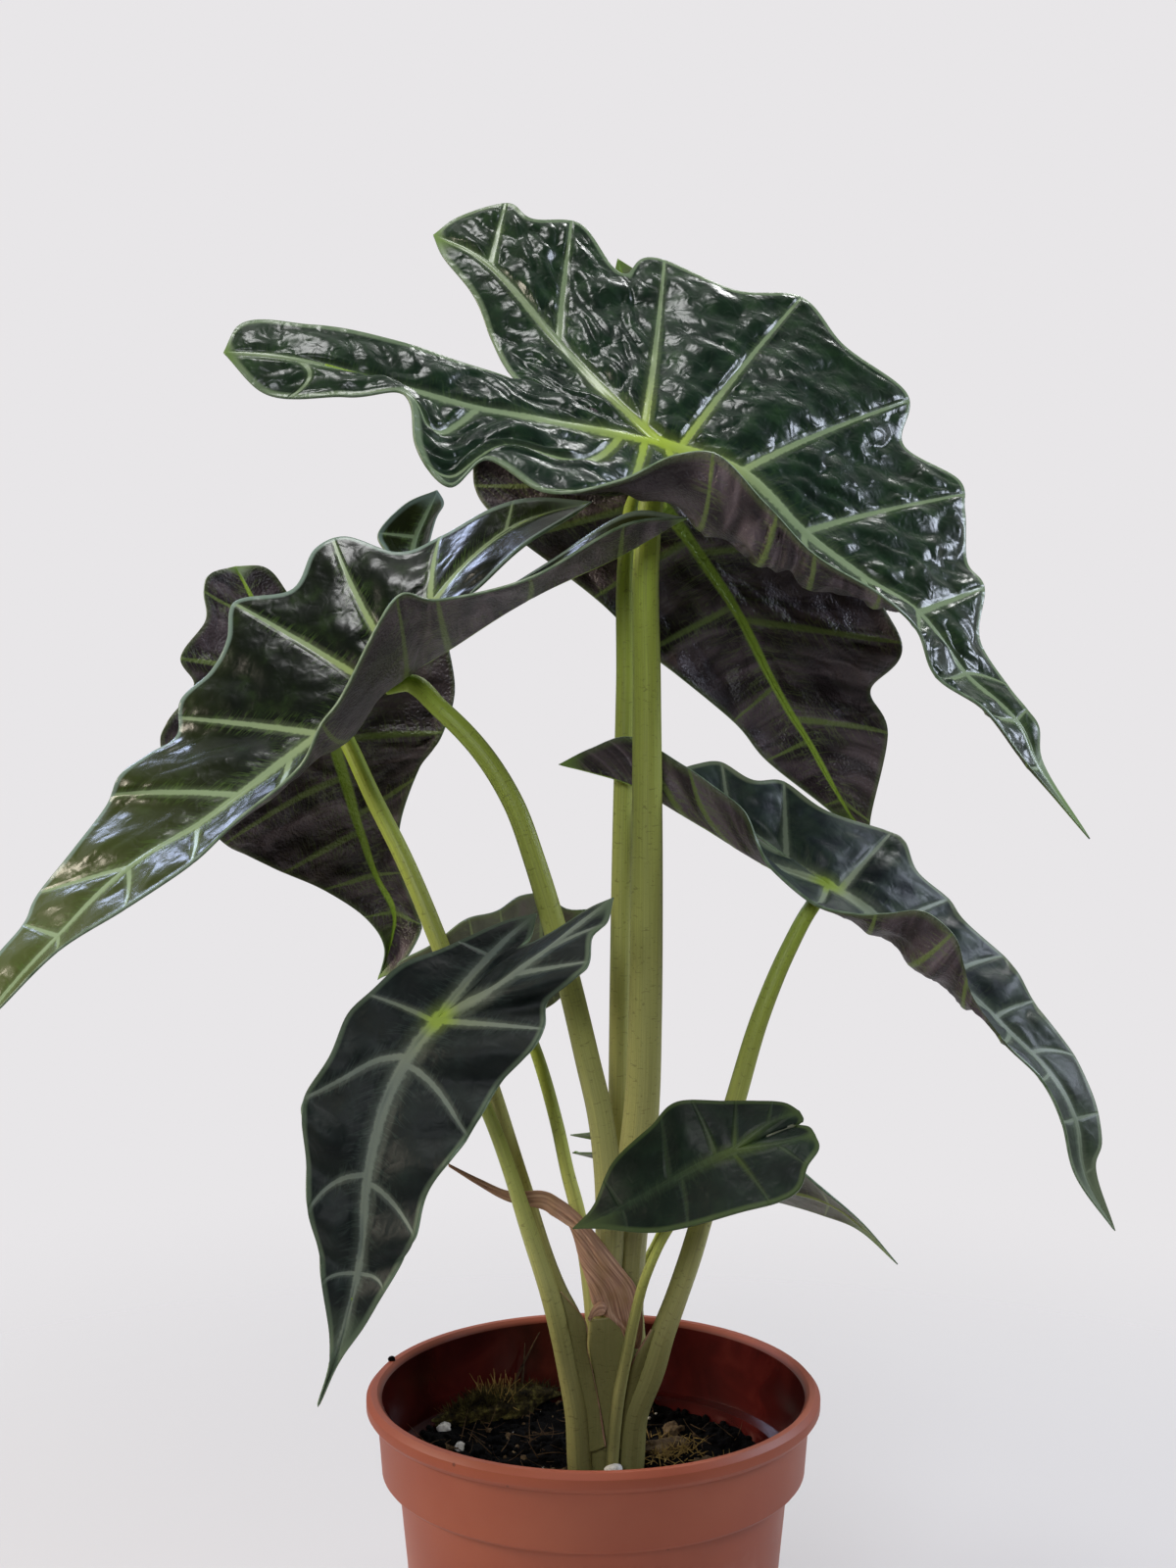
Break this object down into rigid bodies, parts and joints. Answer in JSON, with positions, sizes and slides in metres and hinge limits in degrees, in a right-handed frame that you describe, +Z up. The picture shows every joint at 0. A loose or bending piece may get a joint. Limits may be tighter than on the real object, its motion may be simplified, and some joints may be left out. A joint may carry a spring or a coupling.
{
  "type": "potted alocasia polly",
  "caption": "House plant with arrow-shaped, wavy dark leaves with pale veins on upright stalks, standing in potting mix in a round terracotta-coloured plastic nursery pot.",
  "frame": {"origin": "the middle of the pot's underside, on the surface that the pot stands on", "axes": "+Z up along the pot's axis, +X to the right as the picture sees the plant, +Y away from the viewer"},
  "size_m": [0.2818, 0.1311, 0.4232],
  "materials": {
    "glossy_blade": "gloss",
    "matte_blade": "satin",
    "stalk": "satin",
    "dried_sheath": "matte",
    "corm": "matte",
    "potting_mix": "matte",
    "pot": "satin",
    "moss": "matte",
    "bark": "matte",
    "perlite": "matte"
  },
  "bodies": {
    "root": {"crown_leaf_stalk": "stalk", "crown_leaf_blade": "glossy_blade", "back_leaf_stalk": "stalk", "back_leaf_blade": "glossy_blade", "left_leaf_stalk": "stalk", "left_leaf_blade": "glossy_blade", "left_back_leaf_stalk": "stalk", "left_back_leaf_blade": "glossy_blade", "right_leaf_stalk": "stalk", "right_leaf_blade": "glossy_blade", "front_leaf_stalk": "stalk", "front_leaf_blade": "matte_blade", "front_small_leaf_stalk": "stalk", "front_small_leaf_blade": "matte_blade", "back_small_leaf_stalk": "stalk", "back_small_leaf_blade": "glossy_blade", "young_leaf_stalk": "stalk", "young_leaf_blade": "glossy_blade", "dried_sheath": "dried_sheath", "corm_with_roots": "corm", "pot": "pot", "potting_mix": "potting_mix", "moss_clump": "moss", "bark_chip_1": "bark", "bark_chip_2": "bark", "bark_chip_3": "bark", "perlite_1": "perlite", "perlite_2": "perlite", "perlite_3": "perlite"}
  },
  "joints": []
}
